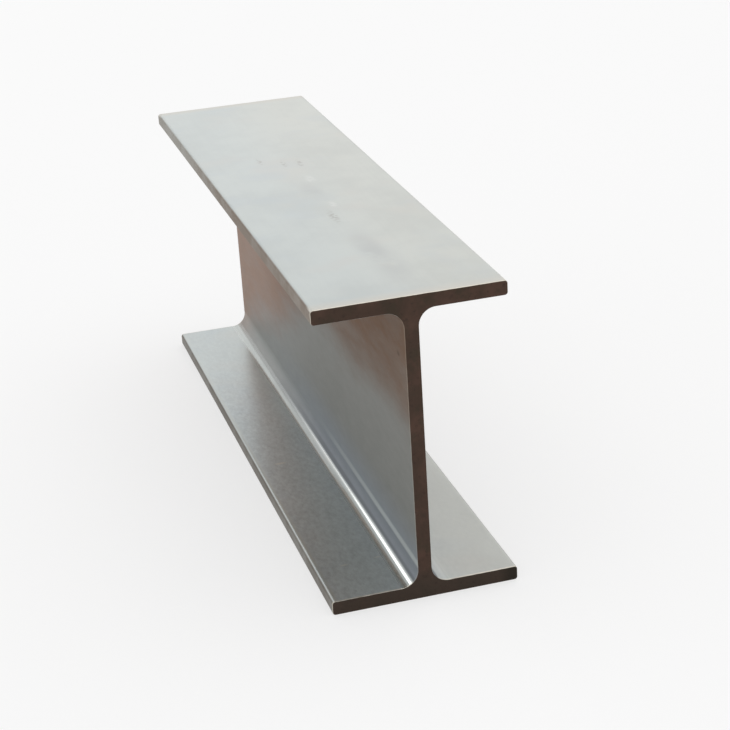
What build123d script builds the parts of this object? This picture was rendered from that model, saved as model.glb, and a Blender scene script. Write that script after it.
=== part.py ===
from build123d import *
import os

# Rolled steel I-beam, one sawn length: an upright web between two parallel flanges.
# X runs along the beam, Y across the flanges, Z up from the underside of the bottom flange.

LENGTH = 189.0            # between the two sawn ends
DEPTH = 78.0              # outer face to outer face of the flanges
FLANGE_WIDTH = 47.0
FLANGE_THICKNESS = 3.7
WEB_THICKNESS = 3.6
ROOT_RADIUS = 4.2         # sweep of the web into each flange
TOE_RADIUS = 0.8          # long flange edges, left slightly round by the rolls
END_ARRIS = 0.25          # edge broken by a file around each sawn end

# Radii stay below what the metal around them can carry
clear_depth = DEPTH - 2 * FLANGE_THICKNESS
overhang = (FLANGE_WIDTH - WEB_THICKNESS) / 2
toe_radius = min(TOE_RADIUS, 0.45 * FLANGE_THICKNESS)
root_radius = min(ROOT_RADIUS, 0.45 * clear_depth, 0.9 * (overhang - toe_radius))
end_arris = min(END_ARRIS, 0.45 * toe_radius, 0.2 * WEB_THICKNESS)

with BuildPart() as beam:

    # Section, drawn across the beam: first coordinate to the side, second one up
    with BuildSketch(Plane.YZ) as section:
        with Locations((0, FLANGE_THICKNESS / 2), (0, DEPTH - FLANGE_THICKNESS / 2)):
            Rectangle(FLANGE_WIDTH, FLANGE_THICKNESS)
        with Locations((0, DEPTH / 2)):
            Rectangle(WEB_THICKNESS, clear_depth)

        # Four inner corners carry the root sweep, the eight flange corners the toe radius
        root_corners = [v for v in section.vertices() if abs(v.X) < FLANGE_WIDTH / 4]
        fillet(root_corners, root_radius)
        toe_corners = [v for v in section.vertices() if abs(v.X) > 0.49 * FLANGE_WIDTH]
        fillet(toe_corners, toe_radius)

    # The section is drawn out both ways, then a small break runs around each sawn end
    extrude(amount=LENGTH / 2, both=True)
    sawn_ends = beam.faces().filter_by(Plane.YZ).filter_by(lambda f: abs(f.center().X) > 0.49 * LENGTH)
    chamfer(sawn_ends.edges(), end_arris)

os.makedirs("parts", exist_ok=True)
export_step(beam.part, "parts/i_beam.step")
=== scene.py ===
# %% [markdown]
# # A sawn length of rolled steel I-beam
#
# The beam is one bar of steel: an upright web between two level flanges.
# Hot rolls pressed it to this section, and a saw cut it to length.
# This lesson takes the measured model and dresses it for a picture.
# It gets a finer skin, a steel finish, a floor, soft light and a camera.

# %% Load the measured beam
import math

import bmesh
import bpy
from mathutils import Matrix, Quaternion, Vector


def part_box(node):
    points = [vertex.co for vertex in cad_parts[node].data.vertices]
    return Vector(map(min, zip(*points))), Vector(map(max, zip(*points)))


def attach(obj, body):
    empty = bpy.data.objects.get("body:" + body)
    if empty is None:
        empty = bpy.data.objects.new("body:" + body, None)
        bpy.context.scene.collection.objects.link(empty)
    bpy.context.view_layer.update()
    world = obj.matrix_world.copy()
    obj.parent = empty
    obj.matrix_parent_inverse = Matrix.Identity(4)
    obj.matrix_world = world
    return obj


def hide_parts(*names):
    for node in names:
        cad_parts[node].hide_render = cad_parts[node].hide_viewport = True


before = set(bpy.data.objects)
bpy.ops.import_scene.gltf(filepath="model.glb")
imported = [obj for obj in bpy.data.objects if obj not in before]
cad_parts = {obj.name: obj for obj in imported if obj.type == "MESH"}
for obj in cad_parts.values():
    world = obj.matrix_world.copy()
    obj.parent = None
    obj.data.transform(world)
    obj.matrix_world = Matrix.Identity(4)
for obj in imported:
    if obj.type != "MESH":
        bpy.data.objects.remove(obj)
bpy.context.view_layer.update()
MM = 1000.0


def in_mm(metres):
    """A length in millimetres, rounded for printing."""
    return round(MM * metres, 2)


# %% [markdown]
# ## Writing nodes as sums
#
# Both the shape and the finish below are made of nodes.
# They could be placed by hand in the editor, or one call at a time,
# but a sum of three masks then takes a dozen lines.
# Here a `Wire` stands for the output of a node, and adding or multiplying wires adds the Math nodes.
# The reflected forms are there so that a plain number can come first, as in `1 - mask`.

# %% The wire
class Wire:
    """The output of one node, which can be used in sums."""

    def __init__(self, board, socket):
        self.board = board
        self.socket = socket

    def math(self, operation, *others):
        """The result of a Math node, with this wire first."""
        sockets = dict(enumerate((self, *others)))
        return self.board.node("ShaderNodeMath", {"operation": operation}, sockets)

    def reflected(self, operation, first):
        """The same with this wire second."""
        return self.board.node("ShaderNodeMath", {"operation": operation}, {0: first, 1: self})

    def __add__(self, other):
        return self.math("ADD", other)

    def __radd__(self, other):
        return self.reflected("ADD", other)

    def __sub__(self, other):
        return self.math("SUBTRACT", other)

    def __rsub__(self, other):
        return self.reflected("SUBTRACT", other)

    def __mul__(self, other):
        return self.math("MULTIPLY", other)

    def __rmul__(self, other):
        return self.reflected("MULTIPLY", other)

    def __truediv__(self, other):
        return self.math("DIVIDE", other)

    def __mod__(self, other):
        return self.math("FLOORED_MODULO", other)

    def __abs__(self):
        return self.math("ABSOLUTE")

    def over(self, low, high):
        """Nought below low, one above high, and a soft step between them."""
        sockets = {"Value": self, "From Min": low, "From Max": high}
        return self.board.node("ShaderNodeMapRange", {"interpolation_type": "SMOOTHSTEP"}, sockets)

    def under(self, low, high):
        """One below low, nought above high."""
        return 1 - self.over(low, high)

    def between(self, begins, ends):
        """One between two places: a step up at the first pair of limits and down at the second."""
        return self.over(*begins) * self.under(*ends)

    def swing(self, middle=0.5):
        """How far a noise lies above its middle, or below it."""
        return self - middle

    def out(self, name):
        """Another output of the same node."""
        return Wire(self.board, self.socket.node.outputs[name])


print("a wire can be added, multiplied and stepped")

# %% [markdown]
# A `Board` is the tree that the nodes sit on.
# Its method `node` places any node: the type, then its settings, then what goes into its sockets.
# The short methods after it only save typing:
# they blend and dim colours, stretch a pattern and make soft patches.

# %% The board
class Board:
    """A tree of nodes, for a shape, a finish or a light."""

    def __init__(self, tree):
        self.tree = tree

    def plug(self, placed, sockets):
        """Link the wires to the sockets of a placed node, and set the plain values."""
        for name, value in sockets.items():
            if isinstance(value, Wire):
                self.tree.links.new(value.socket, placed.inputs[name])
            else:
                placed.inputs[name].default_value = value

    def node(self, kind, settings=None, sockets=None, out=0):
        """Place any node and hand back one of its outputs."""
        placed = self.tree.nodes.new(kind)
        for name, value in (settings or {}).items():
            setattr(placed, name, value)
        self.plug(placed, sockets or {})
        return Wire(self, placed.outputs[out]) if placed.outputs else None

    def blend(self, share, first, second):
        """From the first colour to the second as share goes from nought to one."""
        return self.node("ShaderNodeMix", {"data_type": "RGBA"}, {0: share, 6: first, 7: second}, out=2)

    def dim(self, colour, times):
        """The colour made darker below one, or lighter above it."""
        return self.node("ShaderNodeVectorMath", {"operation": "SCALE"}, {0: colour, "Scale": times})

    def stretch(self, place, times):
        """A place or a colour, with each of its three numbers multiplied on its own."""
        return self.node("ShaderNodeVectorMath", {"operation": "MULTIPLY"}, {0: place, 1: times})

    def cloud(self, place, size, detail=2.0, rough=0.5, seed=0.0):
        """Soft random patches about so many units across."""
        sockets = {"Vector": place, "W": seed, "Scale": 1.0 / size, "Detail": detail, "Roughness": rough}
        return self.node("ShaderNodeTexNoise", {"noise_dimensions": "4D"}, sockets)


print("a board places, blends, dims, stretches and clouds")

# %% [markdown]
# ## The sizes of the section
#
# Someone who measures a beam puts a caliper on the web, on a flange and across the section.
# The sizes could be typed in again here, but then the skin and the measured model could drift apart.
# The model's own corner points lie where the flats run into the round parts,
# so the sizes are read off those.

# %% Read the section off the measured beam
low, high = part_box("i_beam")
length, width, depth = high - low

corners = [v.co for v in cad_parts["i_beam"].data.vertices]
end_zone = 0.0002
above_floor = 0.0005
floor_skin = 0.000002
whole_section = [p for p in corners if abs(p.x) < 0.5 * length - end_zone]
inside_root = [p for p in whole_section if abs(p.y) < 0.25 * width and above_floor < p.z < 0.5 * depth]
on_the_floor = [p for p in whole_section if p.z < floor_skin]

web = 2 * min(abs(p.y) for p in inside_root)
flange = min(p.z for p in inside_root)
root_radius = max(p.z for p in inside_root) - flange
toe_radius = 0.5 * width - max(abs(p.y) for p in on_the_floor)
arris = 0.5 * length - max(abs(p.x) for p in whole_section)
print("length, width, depth in mm:", in_mm(length), in_mm(width), in_mm(depth))
print("web, flange in mm:", in_mm(web), in_mm(flange))
print("root, toe, arris in mm:", in_mm(root_radius), in_mm(toe_radius), in_mm(arris))

# %% [markdown]
# ## The rolled skin
#
# A rolled bar follows one rule: the same section all along its length.
# It could be drawn and extruded by hand, but every change of size would mean drawing it again.
# Geometry Nodes keep the rule: twelve corners, a radius on each, and a straight line to sweep them along.
# The sizes are named inputs of the tree, so they can be turned like dials.

# %% Name the dials of the tree
rolling = bpy.data.node_groups.new("rolled_beam", "GeometryNodeTree")
rolling.is_modifier = True
rolling.interface.new_socket("Beam", in_out="OUTPUT", socket_type="NodeSocketGeometry")

dials = {
    "Length": length,
    "Depth": depth,
    "Width": width,
    "Flange": flange,
    "Web": web,
    "Root radius": root_radius,
    "Toe radius": toe_radius,
    "Step": 0.0022,
    "Unevenness": 0.00008,
    "Seed": 4.0,
}
dial_sockets = {}
for name in dials:
    dial_sockets[name] = rolling.interface.new_socket(name, in_out="INPUT", socket_type="NodeSocketFloat")
finish_dial = rolling.interface.new_socket("Finish", in_out="INPUT", socket_type="NodeSocketMaterial")
dial_sockets["Finish"] = finish_dial

rolls = Board(rolling)
dial_row = rolls.node("NodeGroupInput")
dial = {name: dial_row.out(name) for name in dial_sockets}
print("dials:", ", ".join(dial))

# %% [markdown]
# The outline goes once round the section, starting at the left toe of the bottom flange.
# One list gives each corner's place across the beam, and another its height.
# An Index Switch hands each of twelve points its own value from such a list.

# %% Pick a value by the point's number
index = rolls.node("GeometryNodeInputIndex")


def pick(choices):
    """A value that depends on the point's number."""
    switch = rolls.node("GeometryNodeIndexSwitch", {"data_type": "FLOAT"}, {"Index": index}).socket.node
    while len(switch.index_switch_items) < len(choices):
        switch.index_switch_items.new()
    rolls.plug(switch, {str(number): choice for number, choice in enumerate(choices)})
    return Wire(rolls, switch.outputs[0])


print("a list can now be read point by point")

# %% Draw the twelve corners
toe = dial["Width"] * 0.5
left_toe = toe * -1
cheek = dial["Web"] * 0.5
left_cheek = cheek * -1
inner_low = dial["Flange"]
inner_high = dial["Depth"] - dial["Flange"]
top = dial["Depth"]

right_half = [left_toe, toe, toe, cheek, cheek, toe]
left_half = [toe, left_toe, left_toe, left_cheek, left_cheek, left_toe]
going_up = [0, 0, inner_low, inner_low, inner_high, inner_high]
coming_down = [top, top, inner_high, inner_high, inner_low, inner_low]
corner_place = rolls.node(
    "ShaderNodeCombineXYZ", None, {"X": pick(right_half + left_half), "Y": pick(going_up + coming_down)}
)

points = rolls.node("GeometryNodeMeshLine", None, {"Count": len(going_up) + len(coming_down)})
points = rolls.node("GeometryNodeSetPosition", None, {"Geometry": points, "Position": corner_place})
outline = rolls.node("GeometryNodeMeshToCurve", None, {"Mesh": points})
outline = rolls.node("GeometryNodeSetSplineCyclic", None, {"Geometry": outline, "Cyclic": True})
print("corners of the outline:", len(going_up) + len(coming_down))

# %% [markdown]
# The four corners beside the web are the deep root sweeps.
# The other eight are the flange toes, which the rolls leave slightly round.
# A bevel on the finished mesh could round them too,
# but a Fillet Curve gives each corner its own radius in one step.

# %% Round the corners
place = rolls.node("GeometryNodeInputPosition")
spot = rolls.node("ShaderNodeSeparateXYZ", None, {"Vector": place})
beside_web = abs(spot).math("LESS_THAN", toe * 0.5)
radius = dial["Toe radius"] + beside_web * (dial["Root radius"] - dial["Toe radius"])
toe_cuts, root_cuts = 7, 16
cuts_round = toe_cuts + beside_web * (root_cuts - toe_cuts)
rounding = {"Curve": outline, "Count": cuts_round, "Radius": radius, "Limit Radius": False}
outline = rolls.node("GeometryNodeFilletCurve", {"mode": "POLY"}, rounding)
print("cuts round a toe and a root:", toe_cuts, root_cuts)

# %% [markdown]
# The flats are still one long run from corner to corner.
# They are cut into short steps, because a long run can't be uneven.
# Each point looks up where the next one is, and the run between the two says how many cuts it needs.

# %% Divide the straight runs
point_count = rolls.node("GeometryNodeAttributeDomainSize", {"component": "CURVE"}, {"Geometry": outline})
next_place = rolls.node(
    "GeometryNodeFieldAtIndex",
    {"data_type": "FLOAT_VECTOR", "domain": "POINT"},
    {"Index": (index + 1) % point_count, "Value": place},
)
run = rolls.node("ShaderNodeVectorMath", {"operation": "DISTANCE"}, {0: place, 1: next_place}, out="Value")
cuts = (run / dial["Step"]).math("FLOOR")
outline = rolls.node("GeometryNodeSubdivideCurve", None, {"Curve": outline, "Cuts": cuts})
print("flats cut every", in_mm(dials["Step"]), "mm")

# %% [markdown]
# The outline is swept along a straight line, as the bar runs out of the rolls, and both ends are capped.
# The sweep is simplest straight up, so the result is laid down afterwards: up becomes along.

# %% Sweep the outline along the beam
back_end = rolls.node("ShaderNodeCombineXYZ", None, {"Z": dial["Length"] * -0.5})
front_end = rolls.node("ShaderNodeCombineXYZ", None, {"Z": dial["Length"] * 0.5})
path = rolls.node("GeometryNodeCurvePrimitiveLine", None, {"Start": back_end, "End": front_end})
path = rolls.node("GeometryNodeResampleCurve", {"mode": "LENGTH"}, {"Curve": path, "Length": dial["Step"]})
sweep = {"Curve": path, "Profile Curve": outline, "Fill Caps": True}
skin = rolls.node("GeometryNodeCurveToMesh", None, sweep)

laid_down = rolls.node(
    "ShaderNodeCombineXYZ", None, {"X": spot.out("Z"), "Y": spot.out("X"), "Z": spot.out("Y")}
)
skin = rolls.node("GeometryNodeSetPosition", None, {"Geometry": skin, "Position": laid_down})
print("swept over", in_mm(dials["Length"]), "mm")

# %% [markdown]
# Hot rolling never leaves a perfect flat: the skin wanders by a few hundredths of a millimetre.
# Bump could fake that, but long soft waves in the mesh bend the reflections in a truer way.
# The waves only press inwards, so that the skin stays inside the measured beam.

# %% Press the skin slightly uneven
facing = rolls.node("ShaderNodeSeparateXYZ", None, {"Vector": rolls.node("GeometryNodeInputNormal")})
wave_length = 0.022
longer_waves = rolls.stretch(place, (0.6, 1.0, 1.0))
waves = rolls.cloud(longer_waves, wave_length, detail=1.0, seed=dial["Seed"])
dent = (waves - 1) * dial["Unevenness"]
push = {"Y": facing.out("Y") * dent, "Z": facing.out("Z") * dent}
inward = rolls.node("ShaderNodeCombineXYZ", None, push)
skin = rolls.node("GeometryNodeSetPosition", None, {"Geometry": skin, "Offset": inward})
skin = rolls.node("GeometryNodeSetShadeSmooth", None, {"Geometry": skin, "Shade Smooth": True})
skin = rolls.node("GeometryNodeRealizeInstances", None, {"Geometry": skin})
skin = rolls.node("GeometryNodeSetMaterial", None, {"Geometry": skin, "Material": dial["Finish"]})
rolls.node("NodeGroupOutput", None, {"Beam": skin})
print("nodes in the tree:", len(rolling.nodes))

# %% [markdown]
# ## The finish of the steel
#
# One bar has one material, but its faces have seen different things.
# The flange faces are clean and pale, the web carries a thin dark film,
# the toes are dull, and the sawn ends are rusty.
# Separate materials would leave hard borders, so one material tells the places apart by where they are.
# Object coordinates give the place, and they are turned into millimetres to be easy to think in.

# %% Open the finish
def new_finish(name):
    """An empty material and its board."""
    material = bpy.data.materials.new(name)
    material.use_nodes = True
    material.node_tree.nodes.clear()
    return material, Board(material.node_tree)


steel, paint = new_finish("rolled_steel")
here = paint.stretch(paint.node("ShaderNodeTexCoord", out="Object"), (MM, MM, MM))
along = paint.node("ShaderNodeSeparateXYZ", None, {"Vector": here})
sideways = along.out("Y")
level = along.out("Z")
across = abs(sideways)
from_middle = abs(along)
print("nodes that tell the place:", len(steel.node_tree.nodes))

# %% [markdown]
# A mask is a place with a soft step in it, because a hard step would show as a jagged line.
# Each step lies between two limits in millimetres: where it starts and where it is done.
# Across the section the limits are measured from the beam's own faces, and along it from its middle.

# %% Mark the faces of the beam
half_length = 0.5 * MM * length
half_width = 0.5 * MM * width
half_web = 0.5 * MM * web
root = MM * root_radius
top_face = MM * depth
low_face = MM * flange
high_face = top_face - low_face

soft = 0.3
top_begins = (top_face - 0.6, top_face - 0.2)
web_begins = (low_face - soft, low_face + soft)
web_ends = (high_face - soft, high_face + soft)
on_top = level.over(*top_begins)
between_flanges = level.between(web_begins, web_ends)
print("half length, half width, half web:", half_length, half_width, half_web)

# %% [markdown]
# ### Pale rolled faces
#
# Clean rolled steel is a pale grey metal with soft, cloudy changes of tone and faint lines along the bar.
# A single grey would look like plastic, and strong speckles would look like stone.
# So three noises of very different sizes each change the tone a little,
# two more lend a warm or a cool cast, and the left half is a shade cooler than the right.
# That cooler left half and warmer right half are a painted reflection of the room's sides.
# The cloudy noises sit askew: a flat face that lies in line with a noise's own grid shows bands.

# %% Make the noises for the pale faces
def turned(place):
    """The place turned out of line with every face of the beam."""
    return paint.node("ShaderNodeMapping", None, {"Vector": place, "Rotation": (0.5, 0.7, 0.9)})


def drawn_out(squeeze):
    """The place squeezed along the beam: a pattern that reads it comes out longer that way."""
    return paint.stretch(here, (squeeze, 1.0, 1.0))


askew = turned(here)
broad = paint.cloud(askew, size=26.0, detail=2.0, seed=1.0)
patch = paint.cloud(askew, size=7.0, detail=3.0, rough=0.55, seed=2.0)
streak = paint.cloud(drawn_out(squeeze=0.04), size=1.4, detail=3.0, seed=4.0)
warm = paint.cloud(askew, size=17.0, detail=2.0, seed=7.0).over(low=0.50, high=0.66)
cool = paint.cloud(askew, size=15.0, detail=2.0, seed=8.0).over(low=0.52, high=0.68)
print("nodes with the noises:", len(steel.node_tree.nodes))

# %% Mottle the pale faces
dull_grey = (0.650, 0.672, 0.658, 1)
pale_grey = (0.704, 0.726, 0.708, 1)
warm_grey = (0.706, 0.688, 0.660, 1)
cool_grey = (0.636, 0.672, 0.688, 1)
left_reflection_tint = (0.975, 1.005, 1.010, 1)
right_reflection_tint = (1.005, 1.000, 0.970, 1)
broad_share, patch_share, streak_share = 0.50, 0.35, 0.15
cast = 0.4
side_fade = 15

tone = broad_share * broad + patch_share * patch + streak_share * streak
rightward = sideways.over(-side_fade, side_fade)
colour = paint.blend(tone.over(low=0.38, high=0.62), dull_grey, pale_grey)
colour = paint.blend(cast * warm, colour, warm_grey)
colour = paint.blend(cast * cool, colour, cool_grey)
# The left half is painted cooler and the right half warmer: a painted reflection of the room.
colour = paint.stretch(colour, paint.blend(rightward, left_reflection_tint, right_reflection_tint))
print("shares of the three noises:", broad_share, patch_share, streak_share)

# %% [markdown]
# How rough a face is decides how sharply it mirrors the room.
# The same noises change that by only a few hundredths: on a large flat face, more would show as specks.

# %% Give the pale faces their shine
plain_rough, patch_rough, streak_rough = 0.30, 0.04, 0.02
rough = plain_rough + patch_rough * patch.swing() + streak_rough * streak.swing()
print("roughness of the pale faces: about", plain_rough)

# %% [markdown]
# ### The film on the web
#
# The web is darker than the flanges: a thin film of scale and rust lies on it,
# grey near the bottom and rusty brown higher up and towards the rear end.
# Its dark colours are also partly painted shade, for the shade that falls between the flanges.
# It could be a second material, but the two would meet in a line, and the film thins out softly.
# So it is a layer over the pale steel, with a colour and a mask of its own.
# The border of the brown follows the lower of two slanting lines, and a noise makes it wander.

# %% Find where the film is brown
rolled_way = turned(drawn_out(squeeze=0.3))
drift = paint.cloud(rolled_way, size=14.0, detail=4.0, rough=0.6, seed=9.0)
stain = paint.cloud(rolled_way, size=4.0, detail=4.0, rough=0.6, seed=11.0).over(low=0.32, high=0.64)

rear_height, rear_slope = 42, 0.41
front_height, front_slope = 43, 0.07
wander = 28
brown_fade = (-10, 12)
stain_depth = 0.16
rear_line = rear_height + rear_slope * along
front_line = front_height + front_slope * along
above_border = level - rear_line.math("MINIMUM", front_line) + wander * drift.swing()
brown = above_border.over(*brown_fade) * (1 - stain_depth * (1 - stain))
print("at mid length the brown starts about", rear_height, "mm up")

# %% Colour the film
# These film colours are partly scale and rust and partly painted shade: the web is painted darker for the
# shade between the flanges.
front_brown_and_shade = (0.154, 0.088, 0.054, 1)
rear_brown_and_sheen = (0.296, 0.197, 0.150, 1)
plain_scale_and_shade = (0.200, 0.200, 0.186, 1)
cool_reflection_scale = (0.226, 0.246, 0.272, 1)
rear_scale_and_sheen = (0.285, 0.287, 0.280, 1)
rear_fade = (-70, 20)
web_foot = low_face + root
cool_reflection_height = 14

# Towards the rear the film is painted lighter: a painted sheen, where the web is seen at a flatter angle.
rear = along.under(*rear_fade)
# Low on the web the grey film is painted bluish: a painted reflection of cooler surroundings.
cool_reflection_foot = level.under(web_foot, web_foot + cool_reflection_height)
grey_film_and_shade = paint.blend(cool_reflection_foot, plain_scale_and_shade, cool_reflection_scale)
grey_film_and_shade = paint.blend(rear, grey_film_and_shade, rear_scale_and_sheen)
brown_film_and_shade = paint.blend(rear, front_brown_and_shade, rear_brown_and_sheen)
film_and_shade_colour = paint.blend(brown, grey_film_and_shade, brown_film_and_shade)
print("nodes with the film's colours:", len(steel.node_tree.nodes))

# %% [markdown]
# The film is finely speckled, and towards the front its rim in the root sweep is darker, a painted dark
# reflection.
# Scale and rust are also only partly metal.
# A metal turns white at a flat angle, whatever its colour, so the brown gets a small share of metal:
# it then keeps its colour from every side.

# %% Speckle the film and set its share of metal
speckle_depth, rim_reflection_depth = 0.30, 0.32
rim_begins = (half_web + 0.13 * root, half_web + 0.22 * root)
rim_fade = (-60, 30)
speckle = paint.cloud(rolled_way, size=2.0, detail=5.0, rough=0.7, seed=10.0)
# The darker rim in the sweep is a painted dark reflection.
rim_dark_reflection = across.over(*rim_begins) * along.over(*rim_fade)
film_and_shade_colour = paint.dim(film_and_shade_colour, 1 + speckle_depth * speckle.swing() - rim_reflection_depth * rim_dark_reflection)

grey_metal, front_metal, rear_metal = 0.50, 0.17, 0.40
brown_metal = front_metal + (rear_metal - front_metal) * rear
film_metal = grey_metal + brown * (brown_metal - grey_metal)
print("metal in the grey and brown film:", grey_metal, front_metal, rear_metal)

# %% [markdown]
# The film runs down into the root sweep and stops where the sweep starts to face upwards.
# It is thinner in the sweep near the rear end, and along a faint line at the foot of the web.
# That line is a painted highlight: it is on the left side and shows most near the front.

# %% Lay the film on the web
rear_reach, front_reach = 0.40, 0.33
reach_fade = (20, 70)
edge_soft = 0.35
film_reach = rear_reach + (front_reach - rear_reach) * along.over(*reach_fade)
on_web = between_flanges * (across - half_web - root * film_reach).under(-edge_soft, edge_soft)

step = 1
line_begins = (web_foot + 0.2, web_foot + 1.0)
line_ends = (web_foot + 1.8, web_foot + 3.0)
line_fade = (-10, 80)
full_cover, rear_loss, highlight_line_loss = 0.97, 0.14, 0.40
right_side = sideways.over(-step, step)
low_root = between_flanges * level.under(web_foot, web_foot + step)
# Thinner film along this line paints a light line there: a painted highlight.
highlight_line = level.between(line_begins, line_ends) * along.over(*line_fade) * (1 - right_side)
cover = full_cover - rear_loss * rear * low_root - highlight_line_loss * highlight_line
print("the film covers this share of the sweep:", rear_reach, "at the rear,", front_reach, "in front")

# %% [markdown]
# Beyond its edge the film goes on as a thinner one.
# It hazes the rear of both low sweeps and the whole length of the right one,
# and it darkens the underside of the top flange as painted shade under the flange.

# %% Thin the film out beyond its edge
sweep_end = half_web + root
haze_ends = (half_web + 0.50 * root, half_web + 0.70 * root)
haze_fade = (-35, 20)
underside_begins = (high_face - root, high_face - 0.5 * root)
underside_ends = (high_face + 0.2, high_face + 0.5)
haze_share, underside_shade_share, right_share = 0.65, 0.62, 0.40

haze = low_root * across.under(*haze_ends) * along.under(*haze_fade)
# The underside of the top flange is darkened here: painted shade.
underside_shade = level.between(underside_begins, underside_ends)
in_sweep = low_root * across.under(sweep_end - soft, sweep_end + soft)
thin_film = haze_share * haze + underside_shade_share * underside_shade + right_share * right_side * in_sweep
film = on_web * cover + (1 - on_web) * thin_film
print("nodes with the film's masks:", len(steel.node_tree.nodes))

# %% [markdown]
# Below the film, the left sweep is burnished, and it shows as a bright line beside the dark film.
# A film hides the metal and scatters light, so it changes the colour, the roughness and the share of metal.

# %% Blend the film in and burnish the sweep below it
polish, film_rough = 0.21, 0.12
burnished = in_sweep * (1 - on_web) * (1 - right_side)
# The film's colour carries painted shade as well as scale and rust.
colour = paint.blend(film, colour, film_and_shade_colour)
rough = rough - polish * burnished + film_rough * film
metal = 1 - film * (1 - film_metal)
print("roughness of the burnished sweep: about", round(plain_rough - polish, 2))

# %% [markdown]
# ### Dust on the bottom flange
#
# Dust settles on the inner face of the bottom flange, between the sweep and the toe, most of it in front.
# It could be a thin mesh of its own, but dust is thinner than any mesh.
# So it greys the colour and lowers the share of bare metal a little.
# On the left, its grit shows as grain, and a narrow rim beside the toe is rubbed bare.
# On the left the dust is also painted bluish, a painted cool reflection like the cooler left half.

# %% Find the dusty face
face_begins = (low_face - 0.5, low_face - 0.1)
face_ends = (low_face + 0.3, low_face + 0.8)
bare_begins = (half_width - 1.8, half_width - 1.0)
dust_begins = (sweep_end - 0.5, sweep_end + 1.0)
dust_fade = (-80, 10)
rear_dust = 0.3

inner_face = level.between(face_begins, face_ends)
bare_rim = across.over(*bare_begins) * (1 - rightward)
dusty = inner_face * across.over(*dust_begins) * (1 - bare_rim)
dust = dusty * (rear_dust + (1 - rear_dust) * along.over(*dust_fade))
print("dust starts", round(dust_begins[0], 2), "mm from the middle of the web")

# %% Grey and grain the dusty face
# The bluish left dust colour is dust plus a painted cool reflection.
left_dust_and_reflection = (0.552, 0.620, 0.655, 1)
right_dust = (0.565, 0.565, 0.535, 1)
dust_share, metal_loss = 0.50, 0.12
grain_depth, right_loss = 0.85, 0.85

grit = paint.cloud(turned(drawn_out(squeeze=0.5)), size=1.1, detail=5.0, rough=0.7, seed=13.0)
grain_share = grain_depth * dust * (1 - right_loss * rightward)
colour = paint.blend(dust_share * dust, colour, paint.blend(rightward, left_dust_and_reflection, right_dust))
colour = paint.dim(colour, 1 + grain_share * grit.swing())
metal = metal * (1 - metal_loss * dust)
print("share of dust in the colour:", dust_share)

# %% [markdown]
# ### Dull toes
#
# The edges of the flanges are dragged, stacked and strapped, so their faces are dull and brownish.
# Only the round corners beside them stay pale, because those are what everything rubs on.
# The lower toes are the darker ones, which is painted shade near the floor.
# The upper toes are paler towards the rear end, which is a painted sheen, and only half metal, so that they
# keep their brown.

# %% Dull the toe faces
front_toe = (0.235, 0.195, 0.160, 1)
# The paler rear toe colour is a painted sheen.
rear_toe_and_sheen = (0.330, 0.315, 0.285, 1)
# The lower toes' darker colour is painted shade near the floor.
low_toe_shaded = (0.155, 0.140, 0.118, 1)
toe_begins = (half_width - 0.62, half_width - 0.20)
corner_begins = (half_width - 1.2, half_width - 0.7)
upper_begins = (0.4 * top_face, 0.6 * top_face)
least_rub, upper_loss = 0.90, 0.50
corner_rough, toe_rough = 0.10, 0.08

rub = across.over(*toe_begins) * (least_rub + (1 - least_rub) * patch.over(low=0.35, high=0.60))
upper = level.over(*upper_begins)
toe_colour = paint.blend(upper, low_toe_shaded, paint.blend(rear, front_toe, rear_toe_and_sheen))
colour = paint.blend(rub, colour, toe_colour)
metal = metal * (1 - upper_loss * rub * upper)
rough = rough + corner_rough * across.over(*corner_begins) + toe_rough * rub
print("toe faces begin", round(half_width - toe_begins[0], 2), "mm from the edge")

# %% [markdown]
# ### Scuffs and scratches
#
# A few small marks lie along the middle of the top flange, where something was set down and slid:
# four dark scrapes, two pale spots and three faint smudges.
# Three short, pale scratches run across the bottom flange, and the web has one dark nick.
# Noise alone would scatter marks anywhere, so each has a place of its own.

# %% Make a soft mark
def mark(face, centre, reach, squeeze, core=0.2):
    """A spot on one face, gone at its reach. A squeeze below one makes it longer that way."""
    middle = tuple(times * c for times, c in zip(squeeze, centre))
    ends = {0: paint.stretch(here, squeeze), 1: middle}
    away = paint.node("ShaderNodeVectorMath", {"operation": "DISTANCE"}, ends, out="Value")
    return face * away.under(core * reach, reach)


def marks(face, height, squeeze, places):
    """Marks on a level face, each given by its place along, its place to the right and its reach."""
    return sum(mark(face, (x, y, height), reach, squeeze) for x, y, reach in places)


print("a mark can be put on any face")

# %% Place the marks
scrape_places = [(-21.7, -0.7, 1.0), (-20.4, 3.5, 1.1), (-27.6, -6.6, 1.1), (30.9, -0.5, 1.6)]
spot_places = [(-4.1, 2.4, 1.8), (20.5, 2.0, 1.4)]
short_smudge_places = [(6.0, 0.0, 4.0)]
long_smudge_places = [(56.0, 0.8, 5.0), (71.0, 2.0, 6.0)]
scratch_places = [(14.7, -16.6, 0.8), (77.8, -15.9, 0.5), (76.9, -6.9, 0.5)]
nick_place = (88.2, -half_web, 61.8)
nick_reach = 0.9

slid = (0.4, 1.0, 1.0)
slid_further = (0.3, 1.0, 1.0)
scraped = (0.22, 1.0, 1.0)
scratched = (1.0, 0.35, 1.0)
nicked = (0.6, 1.0, 1.0)
scrapes = marks(on_top, top_face, scraped, scrape_places)
spots = marks(on_top, top_face, slid, spot_places)
short_smudges = marks(on_top, top_face, slid, short_smudge_places)
long_smudges = marks(on_top, top_face, slid_further, long_smudge_places)
scratches = marks(inner_face, low_face, scratched, scratch_places)
nick = mark(on_web, nick_place, nick_reach, nicked)
print("scrapes, spots:", len(scrape_places), len(spot_places))
print("smudges, scratches:", len(short_smudge_places + long_smudge_places), len(scratch_places))

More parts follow.
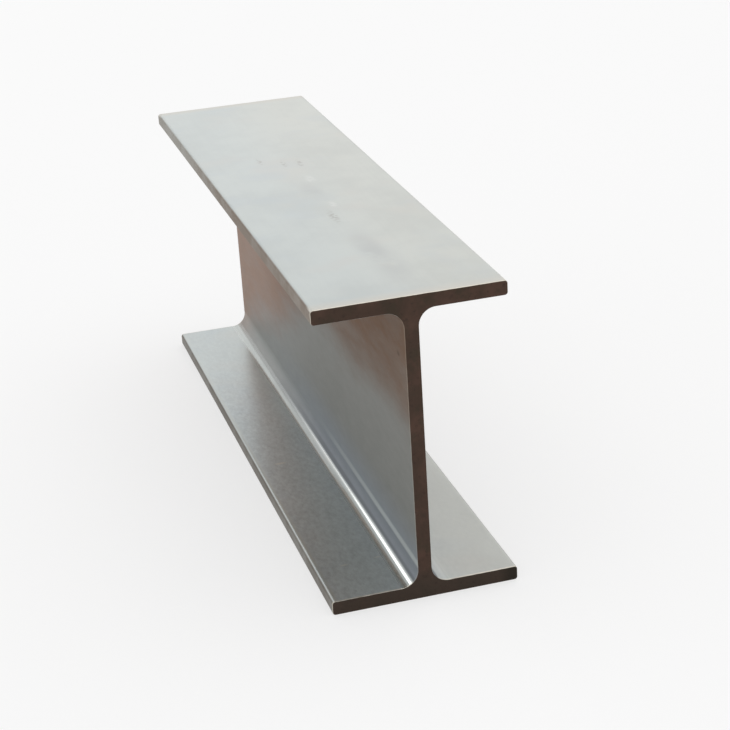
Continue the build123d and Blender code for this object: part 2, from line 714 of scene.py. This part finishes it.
# %% [markdown]
# The marks on the top flange are broken up by noise, so that none has a clean rim.
# Every mark is only a change of colour: none is deep enough to bend the reflections.

# %% Colour the marks
scratch_pale = (0.80, 0.80, 0.74, 1)
nick_brown = (0.06, 0.045, 0.035, 1)
scrape_grey = (0.43, 0.42, 0.39, 1)
spot_pale = (0.80, 0.81, 0.79, 1)
smudge_grey = (0.52, 0.535, 0.535, 1)
scratch_share, nick_share = 0.70, 0.50
scrape_share, spot_share, smudge_share = 0.60, 0.70, 0.35

crumbs = paint.cloud(askew, size=1.1, detail=3.0, rough=0.6, seed=31.0)
broken_scrapes = scrapes * crumbs.over(low=0.40, high=0.60)
broken_spots = spots * crumbs.over(low=0.35, high=0.60)
broken_smudges = (short_smudges + long_smudges) * patch.over(low=0.30, high=0.60)
colour = paint.blend(scratch_share * scratches, colour, scratch_pale)
colour = paint.blend(nick_share * nick, colour, nick_brown)
colour = paint.blend(scrape_share * broken_scrapes, colour, scrape_grey)
colour = paint.blend(spot_share * broken_spots, colour, spot_pale)
colour = paint.blend(smudge_share * broken_smudges, colour, smudge_grey)
print("nodes with the marks:", len(steel.node_tree.nodes))

# %% [markdown]
# ### Sawn ends
#
# The saw left bare steel, which rusted to a dark, dull brown with redder and darker patches and fine pits.
# The foot of each end is darker too, and its right corner is nearly black.
# The broken edge round it is a thin, pale line, and the top flange is a warmer grey just before that.
# A photograph could be laid on the ends, but noise has no seams and fits any size of beam.

# %% Find the sawn ends
wobble_depth = 0.10
rust_begins = (half_length - 0.12, half_length - 0.03)
edge_fade = 0.25
edge_done = half_length - MM * arris
warm_begins = (half_length - 5.0, half_length - 0.5)

wobble = paint.cloud(askew, size=1.8, detail=3.0, seed=12.0)
sawn = (from_middle + wobble_depth * wobble.swing()).over(*rust_begins)
edge = from_middle.over(edge_done - edge_fade, edge_done)
warm_end = on_top * from_middle.over(*warm_begins)
print("rust begins", round(half_length - rust_begins[0], 2), "mm before each end")

# %% Mix the rust
plain_rust = (0.066, 0.044, 0.034, 1)
red_rust = (0.086, 0.053, 0.041, 1)
dark_rust = (0.049, 0.041, 0.030, 1)
foot_rust = (0.052, 0.042, 0.034, 1)
corner_rust = (0.026, 0.024, 0.019, 1)
pit_rust = (0.037, 0.027, 0.024, 1)
dark_share, foot_share, corner_share, pit_share = 0.60, 0.70, 0.70, 0.50
foot_fade = (3, 10)
right_begins = (18, 22)

red_patch = paint.cloud(askew, size=8.0, detail=3.0, rough=0.6, seed=14.0).over(low=0.40, high=0.62)
dark_patch = paint.cloud(askew, size=5.0, detail=3.0, rough=0.6, seed=16.0).over(low=0.48, high=0.68)
pits = paint.cloud(askew, size=0.9, detail=3.0, seed=15.0).over(low=0.55, high=0.75)
foot = level.under(*foot_fade)
right_corner = foot * sideways.over(*right_begins)
rust = paint.blend(red_patch, plain_rust, red_rust)
rust = paint.blend(dark_share * dark_patch, rust, dark_rust)
rust = paint.blend(foot_share * foot, rust, foot_rust)
rust = paint.blend(corner_share * right_corner, rust, corner_rust)
rust = paint.blend(pit_share * pits, rust, pit_rust)
print("nodes with the rust:", len(steel.node_tree.nodes))

# %% [markdown]
# Rust isn't a metal any more, so the metal share drops there as well as the shine.
# The pale edge goes on first and the rust last, so that the rust ends in a ragged line on the edge.

# %% Rust the ends
warm_steel = (0.712, 0.696, 0.640, 1)
rubbed_edge = (0.72, 0.67, 0.57, 1)
warm_share, edge_share, film_hides = 0.90, 0.70, 0.80
rust_rough, rust_loss = 0.62, 0.90

colour = paint.blend(warm_share * warm_end, colour, warm_steel)
colour = paint.blend(edge_share * edge * (1 - film_hides * film), colour, rubbed_edge)
colour = paint.blend(sawn, colour, rust)
rough = rough + sawn * (rust_rough - rough)
metal = metal * (1 - rust_loss * sawn)
print("roughness and metal of the rust:", rust_rough, round(1 - rust_loss, 2))

# %% [markdown]
# ### Relief and shader
#
# What is too fine for the mesh is bump: the lines along the bar, its grain, a slow ripple,
# and the marks of the saw across each end.
# All heights are in millimetres, and the Bump node's distance turns them into metres.
# The constant numbers sit on the shader itself, and only what varies comes in by wire.

# %% Shape the relief
grain_height, streak_height, ripple_height, saw_height = 0.0006, 0.0006, 0.008, 0.03
grain = paint.cloud(askew, size=0.6, detail=1.0, seed=3.0)
ripple = paint.cloud(drawn_out(squeeze=0.35), size=3.0, detail=1.0, seed=21.0)
saw_marks = paint.cloud(paint.stretch(here, (0.1, 0.06, 1.0)), size=0.45, detail=2.0, seed=20.0)
rolled_relief = grain_height * grain + streak_height * streak + ripple_height * ripple
relief = (1 - sawn) * rolled_relief + saw_height * sawn * saw_marks
print("deepest relief on the faces and the ends in mm:", ripple_height, saw_height)

# %% Join the finish
bump = paint.node("ShaderNodeBump", None, {"Height": relief, "Strength": 1.0, "Distance": 1 / MM})
varying = {"Base Color": colour, "Roughness": rough, "Metallic": metal, "Normal": bump}
shader = paint.node("ShaderNodeBsdfPrincipled", None, {**varying, "Specular IOR Level": 0.0})
paint.node("ShaderNodeOutputMaterial", None, {"Surface": shader})
print("nodes in the finish:", len(steel.node_tree.nodes))

# %% [markdown]
# ## Rolling the beam
#
# A modifier on an empty mesh runs the tree, with each dial set by its socket's identifier.
# Two more modifiers follow: a bevel breaks the sharp edge that the saw left,
# and weighted normals keep the flats flat.
# Then the result is copied to a plain mesh, because a finished piece carries no live modifier.

# %% Roll, file and copy
blank = bpy.data.objects.new("blank", bpy.data.meshes.new("blank"))
bpy.context.scene.collection.objects.link(blank)
mill = blank.modifiers.new("rolled_beam", "NODES")
mill.node_group = rolling
for name, value in dials.items():
    mill[dial_sockets[name].identifier] = value
mill[dial_sockets["Finish"].identifier] = steel

filing = blank.modifiers.new("filed_arris", "BEVEL")
filing.width = arris
filing.segments = 3
filing.limit_method = "ANGLE"
filing.angle_limit = math.radians(60)
filing.use_clamp_overlap = False
flats = blank.modifiers.new("true_flats", "WEIGHTED_NORMAL")
flats.keep_sharp = True
flats.weight = 100

settled = blank.evaluated_get(bpy.context.evaluated_depsgraph_get())
beam = bpy.data.objects.new("steel_beam", bpy.data.meshes.new_from_object(settled))
bpy.context.scene.collection.objects.link(beam)
bpy.data.objects.remove(blank)
print("faces:", len(beam.data.polygons), "finish:", [m.name for m in beam.data.materials])

# %% [markdown]
# A good skin is closed and faces outwards.
# Both can be measured: every edge has two faces, and the volume inside comes out positive.
# The beam then rides on the measured body, and the measured beam is hidden.

# %% Measure the skin and hand it over
probe = bmesh.new()
probe.from_mesh(beam.data)
open_edges = sum(1 for e in probe.edges if len(e.link_faces) != 2)
volume = probe.calc_volume(signed=True)
triangles = sum(len(f.verts) - 2 for f in probe.faces)
probe.free()
cm3 = 1e-6
print("open edges:", open_edges, "volume in cm3:", round(volume / cm3, 2), "triangles:", triangles)

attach(beam, "root")
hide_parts("i_beam")

# %% [markdown]
# ## The floor
#
# The beam stands on a plain pale floor, which catches its shadow.
# A curved backdrop would work too, but the camera looks down and sees only the floor.
# White paper under soft light still renders grey, and more light would bleach the beam.
# So a good half of what is seen of the floor, straight or in a reflection, is plain white,
# and the rest keeps the shadow.

# %% Lay the floor
far = 20.0
floor_mesh = bpy.data.meshes.new("floor")
floor_corners = [(-far, -far, 0), (far, -far, 0), (far, far, 0), (-far, far, 0)]
floor_mesh.from_pydata(floor_corners, [], [(0, 1, 2, 3)])
floor = bpy.data.objects.new("floor", floor_mesh)
bpy.context.scene.collection.objects.link(floor)
print("floor is", 2 * far, "m wide")

# %% Paint the floor
white_share = 0.6
pale_floor, floor_paint = new_finish("pale_floor")
matt = {"Base Color": (0.95, 0.95, 0.95, 1), "Roughness": 0.9, "Specular IOR Level": 0.2}
matt_paper = floor_paint.node("ShaderNodeBsdfPrincipled", None, matt)
white_paper = floor_paint.node("ShaderNodeEmission", None, {"Color": (1, 1, 1, 1), "Strength": 1.0})
ray = floor_paint.node("ShaderNodeLightPath", out="Is Camera Ray")
seen = ray + ray.out("Is Glossy Ray") + ray.out("Is Transmission Ray")
mixture = {0: white_share * seen, 1: matt_paper, 2: white_paper}
paper = floor_paint.node("ShaderNodeMixShader", None, mixture)
floor_paint.node("ShaderNodeOutputMaterial", None, {"Surface": paper})
floor_mesh.materials.append(pale_floor)
print("share of plain white in the floor:", white_share)

# %% [markdown]
# ## The light
#
# Bare metal shows its surroundings more than its own colour, so the room matters more than the lamps.
# The room is a pale studio: bright walls low down, a greyer band above them and a bright ceiling.
# The world's direction gives that with one soft step down and one up.

# %% Paint the room
room = bpy.data.worlds.new("studio")
room.use_nodes = True
room.node_tree.nodes.clear()
air = Board(room.node_tree)
direction = air.node("ShaderNodeTexCoord", out="Generated")
rise = air.node("ShaderNodeSeparateXYZ", None, {"Vector": direction}).out("Z")
wall_glow, band_loss, ceiling_gain = 1.0, 0.48, 0.43
band_begins = (0.33, 0.47)
ceiling_begins = (0.55, 0.80)
glow = wall_glow - band_loss * rise.over(*band_begins) + ceiling_gain * rise.over(*ceiling_begins)
walls = air.node("ShaderNodeBackground", None, {"Color": (1, 1, 1, 1), "Strength": glow})
air.node("ShaderNodeOutputWorld", None, {"Surface": walls})
bpy.context.scene.world = room
print("nodes in the room:", len(room.node_tree.nodes))

# %% [markdown]
# A wide, weak sun gives the shadow on the floor a side.
# A small round lamp hangs behind the beam on its left,
# and the burnished root sweep picks it up as a white line.

# %% Hang the lamps
def hang(name, kind, towards, distance):
    """A lamp that hangs in this direction from the beam and shines back at it."""
    lamp = bpy.data.lights.new(name, kind)
    holder = bpy.data.objects.new(name, lamp)
    holder.location = towards.normalized() * distance
    holder.rotation_mode = "QUATERNION"
    holder.rotation_quaternion = towards.to_track_quat("Z", "Y")
    holder.visible_camera = False
    bpy.context.scene.collection.objects.link(holder)
    return lamp


sun = hang("wide_sun", "SUN", towards=Vector((-0.3, 0.5, 1.0)), distance=2.0)
sun.energy = 0.35
sun.angle = math.radians(70)

left_of_beam = math.radians(24.6)
up = math.radians(27.2)
behind_left = Vector((-math.cos(left_of_beam), -math.sin(left_of_beam), math.tan(up)))
round_lamp = hang("round_lamp", "AREA", towards=behind_left, distance=1.5)
round_lamp.shape = "DISK"
round_lamp.size = 0.27
round_lamp.energy = 0.23
print("lamps:", [lamp.name for lamp in bpy.data.lights])

# %% [markdown]
# ## The camera
#
# The picture is taken from close by, in front of one end, a little to the left and looking down.
# The place, the lens and the slight tilt were found by laying the beam's corners over those in the picture.

# %% Set up the camera
camera = bpy.data.objects.new("camera", bpy.data.cameras.new("camera"))
camera.data.lens = 91.62
camera.data.sensor_width = 36.0
camera.data.clip_start = 0.01
camera.location = (0.47177, -0.11089, 0.22486)
aim = Vector((0.05061, 0.0, 0.04413))
tilt = Quaternion((0, 0, 1), math.radians(-3.764))
camera.rotation_mode = "QUATERNION"
camera.rotation_quaternion = (aim - camera.location).to_track_quat("-Z", "Y") @ tilt
bpy.context.scene.collection.objects.link(camera)
bpy.context.scene.camera = camera
print("camera stands", in_mm((aim - camera.location).length), "mm from its aim")

# %% [markdown]
# ## Done
#
# The picture is shown with the Standard view transform.

# %% Set the view transform
bpy.context.scene.view_settings.view_transform = "Standard"
